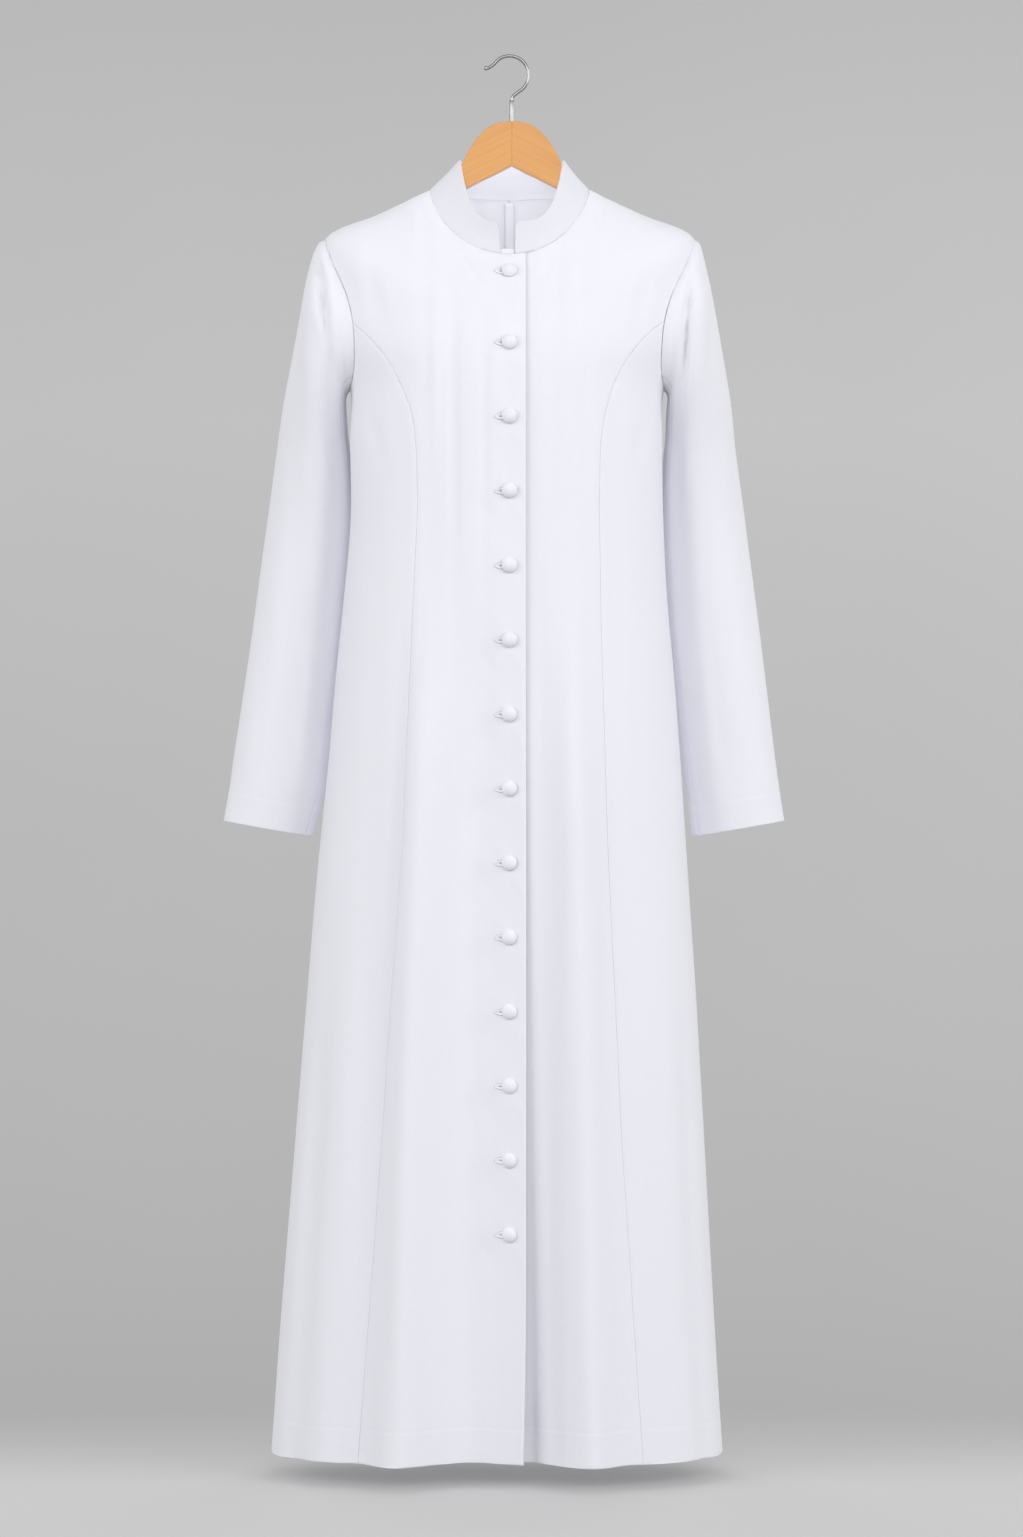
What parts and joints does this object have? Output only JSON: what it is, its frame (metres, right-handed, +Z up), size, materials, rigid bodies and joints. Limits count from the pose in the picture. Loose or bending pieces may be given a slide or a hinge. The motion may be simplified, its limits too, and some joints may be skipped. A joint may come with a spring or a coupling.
{
  "type": "clergy robe on wooden hanger",
  "caption": "Long white robe with stand collar, covered buttons down the front, curved front seams and narrow sleeves, filled out and hung on a two-armed wooden hanger with a wire hook.",
  "frame": {"origin": "inside of the hook's crown, where the hook sits on a rail or peg", "axes": "+Z up along the robe's length, -Y out of the front with the buttons, -X towards the wearer's right sleeve"},
  "size_m": [0.5934, 0.2107, 1.4655],
  "materials": {
    "white_cloth": "plain matt weave, bright white with a faint cool tint",
    "honey_wood": "clear satin varnish over honey-coloured straight grain",
    "bright_steel": "polished wire"
  },
  "bodies": {
    "root": {"front_right": "white_cloth", "front_left": "white_cloth", "side_front_right": "white_cloth", "side_front_left": "white_cloth", "back_right": "white_cloth", "back_left": "white_cloth", "sleeve_upper_right": "white_cloth", "sleeve_under_right": "white_cloth", "sleeve_upper_left": "white_cloth", "sleeve_under_left": "white_cloth", "collar": "white_cloth", "neck_facing": "white_cloth", "back_seam_tape": "white_cloth", "button_01": "white_cloth", "button_02": "white_cloth", "button_03": "white_cloth", "button_04": "white_cloth", "button_05": "white_cloth", "button_06": "white_cloth", "button_07": "white_cloth", "button_08": "white_cloth", "button_09": "white_cloth", "button_10": "white_cloth", "button_11": "white_cloth", "button_12": "white_cloth", "button_13": "white_cloth", "button_14": "white_cloth", "hanger_arm_right": "honey_wood", "hanger_arm_left": "honey_wood", "hanger_hook": "bright_steel", "hook_ferrule": "bright_steel"}
  },
  "joints": []
}
